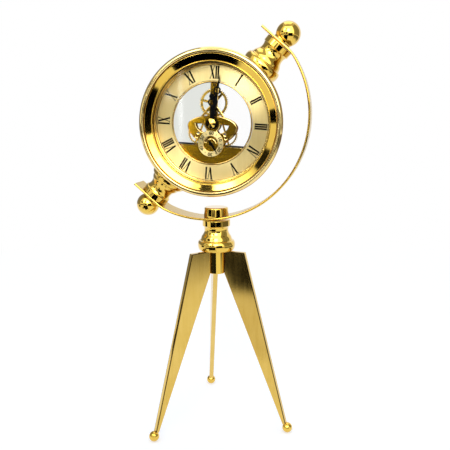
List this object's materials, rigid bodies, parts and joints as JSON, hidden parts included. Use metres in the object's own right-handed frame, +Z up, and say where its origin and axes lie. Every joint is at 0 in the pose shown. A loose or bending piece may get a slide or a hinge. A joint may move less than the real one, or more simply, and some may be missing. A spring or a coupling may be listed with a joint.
{
  "type": "skeleton table clock",
  "caption": "Skeleton clock with an open dial and geared movement, tilting in a half-ring bracket that swivels on a slim three-legged stand with ball feet.",
  "frame": {"origin": "middle of the bounding box's lower face, on the surface that the feet stand on", "axes": "+Z up, -Y the way the dial faces, +X to the viewer's right. The bracket's tilting axis lies in the XZ plane's direction, 41 degrees off vertical."},
  "size_m": [0.1416, 0.1136, 0.3234],
  "materials": {
    "polished_gold": "mirror polished, gold plated",
    "satin_gold": "satin brushed, gold plated",
    "champagne_dial": "fine satin",
    "movement_brass": "semi-gloss",
    "steel": "plain",
    "black_lacquer": "gloss",
    "black_plastic": "matte",
    "battery_wrap": "plain printed wrap",
    "mineral_glass": "clear",
    "clear_acrylic": "clear"
  },
  "bodies": {
    "stand": {"stand_hub": "polished_gold", "leg_rear": "satin_gold", "leg_left": "satin_gold", "leg_right": "satin_gold", "foot_rear": "polished_gold", "foot_left": "polished_gold", "foot_right": "polished_gold", "pedestal_post": "polished_gold", "pedestal_stud": "steel"},
    "bracket": {"arc_band": "satin_gold", "cap_nut": "polished_gold"},
    "clock": {"case_drum": "polished_gold", "bezel": "polished_gold", "front_glass": "mineral_glass", "post_upper": "polished_gold", "post_lower": "polished_gold", "finial_upper": "polished_gold", "finial_lower": "polished_gold", "stud_upper": "steel", "stud_lower": "steel", "spacer_ring": "polished_gold", "dial_ring": "champagne_dial", "opening_rim": "polished_gold", "movement_ring": "black_plastic", "main_bridge": "movement_brass", "rear_bridge": "movement_brass", "top_bridge": "movement_brass", "segment_plate": "movement_brass", "pillar_upper_left": "movement_brass", "pillar_upper_right": "movement_brass", "pillar_lower_left": "movement_brass", "pillar_lower_right": "movement_brass", "strut_screw": "polished_gold", "seconds_dial": "champagne_dial", "top_wheel_stud": "polished_gold", "post_screw_upper": "steel", "post_screw_lower": "steel", "quartz_module": "black_plastic", "battery_cell": "battery_wrap", "rear_window": "clear_acrylic", "rear_panel": "black_plastic", "rear_retaining_ring": "polished_gold"},
    "minute_hand_body": {"minute_hand": "black_lacquer", "hand_cap": "polished_gold", "centre_arbor": "steel"},
    "hour_hand_body": {"hour_hand": "black_lacquer", "hour_pipe": "polished_gold"},
    "seconds_hand_body": {"seconds_hand": "black_lacquer", "seconds_arbor": "steel"},
    "top_wheel_body": {"top_wheel": "movement_brass"},
    "left_wheel_body": {"left_wheel": "movement_brass", "left_arbor": "steel"},
    "right_wheel_body": {"right_wheel": "movement_brass", "right_arbor": "steel"},
    "knob_body": {"setting_knob": "black_plastic"},
    "battery_cover_body": {"battery_cover": "black_plastic"}
  },
  "joints": [
    {"name": "arc_swivel", "type": "hinge", "parent": "stand", "child": "bracket", "pos_m": [-0.00311, -0.00617, 0.172], "axis": [0, 0, 1], "continuous": true},
    {"name": "clock_tilt", "type": "hinge", "parent": "bracket", "child": "clock", "pos_m": [-0.00407, -0.00617, 0.24806], "axis": [0.6561, 0, 0.7547], "continuous": true},
    {"name": "minute_hand_turn", "type": "hinge", "parent": "clock", "child": "minute_hand_body", "pos_m": [-0.00407, -0.00617, 0.24806], "axis": [0, 1, 0], "continuous": true},
    {"name": "hour_hand_turn", "type": "hinge", "parent": "clock", "child": "hour_hand_body", "pos_m": [-0.00407, -0.00617, 0.24806], "axis": [0, 1, 0], "continuous": true},
    {"name": "seconds_hand_turn", "type": "hinge", "parent": "clock", "child": "seconds_hand_body", "pos_m": [-0.00509, -0.00617, 0.23269], "axis": [0, 1, 0], "continuous": true},
    {"name": "top_wheel_turn", "type": "hinge", "parent": "clock", "child": "top_wheel_body", "pos_m": [-0.00304, -0.00617, 0.26352], "axis": [0, 1, 0], "continuous": true},
    {"name": "left_wheel_turn", "type": "hinge", "parent": "clock", "child": "left_wheel_body", "pos_m": [-0.01501, -0.00617, 0.24103], "axis": [0, 1, 0], "continuous": true},
    {"name": "right_wheel_turn", "type": "hinge", "parent": "clock", "child": "right_wheel_body", "pos_m": [0.00585, -0.00617, 0.23965], "axis": [0, 1, 0], "continuous": true},
    {"name": "knob_turn", "type": "hinge", "parent": "clock", "child": "knob_body", "pos_m": [-0.00546, -0.00617, 0.2271], "axis": [0, 1, 0], "continuous": true},
    {"name": "battery_cover_slide", "type": "slide", "parent": "clock", "child": "battery_cover_body", "axis": [0, 1, 0], "range_m": [0, 0.03]}
  ],
  "couplings": [
    {"joint": "hour_hand_turn", "follows": "minute_hand_turn", "ratio": 0.083333},
    {"joint": "top_wheel_turn", "follows": "minute_hand_turn", "ratio": -0.40909},
    {"joint": "left_wheel_turn", "follows": "minute_hand_turn", "ratio": -0.40541},
    {"joint": "right_wheel_turn", "follows": "minute_hand_turn", "ratio": -0.40541},
    {"joint": "knob_turn", "follows": "minute_hand_turn", "ratio": -1}
  ]
}
